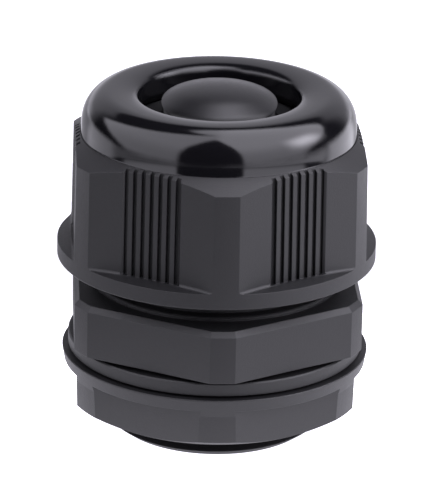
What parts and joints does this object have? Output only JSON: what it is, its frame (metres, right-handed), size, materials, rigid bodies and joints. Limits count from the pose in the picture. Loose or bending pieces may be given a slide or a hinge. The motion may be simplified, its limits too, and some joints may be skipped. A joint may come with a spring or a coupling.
{
  "type": "cable gland",
  "caption": "Domed hexagonal plastic cable gland with grip-ribbed cap nut, clamping claws, nested seals, dust plug, flat gasket and flanged locknut.",
  "frame": {"origin": "centre of the connection thread's end face, which is also the middle of the assembly's lowest plane", "axes": "+Z along the gland's axis, from the connection thread up to the cap nut; a corner of the hexagons faces -Y"},
  "size_m": [0.0366, 0.0366, 0.0406],
  "materials": {
    "matte_nylon": "fine spark-eroded texture, moulded black polyamide",
    "cap_nylon": "polished dome over a matte textured hexagon, moulded black polyamide",
    "claw_nylon": "moulded black polyamide, as moulded",
    "seal_rubber": "matte black chloroprene rubber",
    "plug_plastic": "satin black soft plastic",
    "gasket_rubber": "satin black rubber"
  },
  "bodies": {
    "body": {"gland_body": "matte_nylon"},
    "claw_insert": {"clamping_claw": "claw_nylon", "outer_seal": "seal_rubber", "inner_seal": "seal_rubber"},
    "cap": {"cap_nut": "cap_nylon"},
    "plug": {"dust_plug": "plug_plastic"},
    "washer": {"flat_gasket": "gasket_rubber"},
    "nut": {"locknut": "matte_nylon"}
  },
  "joints": [
    {"name": "cap_travel", "type": "slide", "parent": "body", "child": "claw_insert", "axis": [0, 0, 1], "range_m": [-0.00275, 0.006]},
    {"name": "cap_turn", "type": "hinge", "parent": "claw_insert", "child": "cap", "pos_m": [0, 0, 0.03], "axis": [0, 0, 1], "range_deg": [-500, 1085]},
    {"name": "plug_lift", "type": "slide", "parent": "claw_insert", "child": "plug", "axis": [0, 0, 1], "range_m": [0, 0.024]},
    {"name": "nut_travel", "type": "slide", "parent": "body", "child": "washer", "axis": [0, 0, 1], "range_m": [-0.009, 0]},
    {"name": "nut_turn", "type": "hinge", "parent": "washer", "child": "nut", "pos_m": [0, 0, 0.006], "axis": [0, 0, 1], "range_deg": [-2165, 5]}
  ],
  "couplings": [
    {"joint": "cap_turn", "follows": "cap_travel", "rad_per_m": 3141.6},
    {"joint": "nut_turn", "follows": "nut_travel", "rad_per_m": 4188.8}
  ]
}
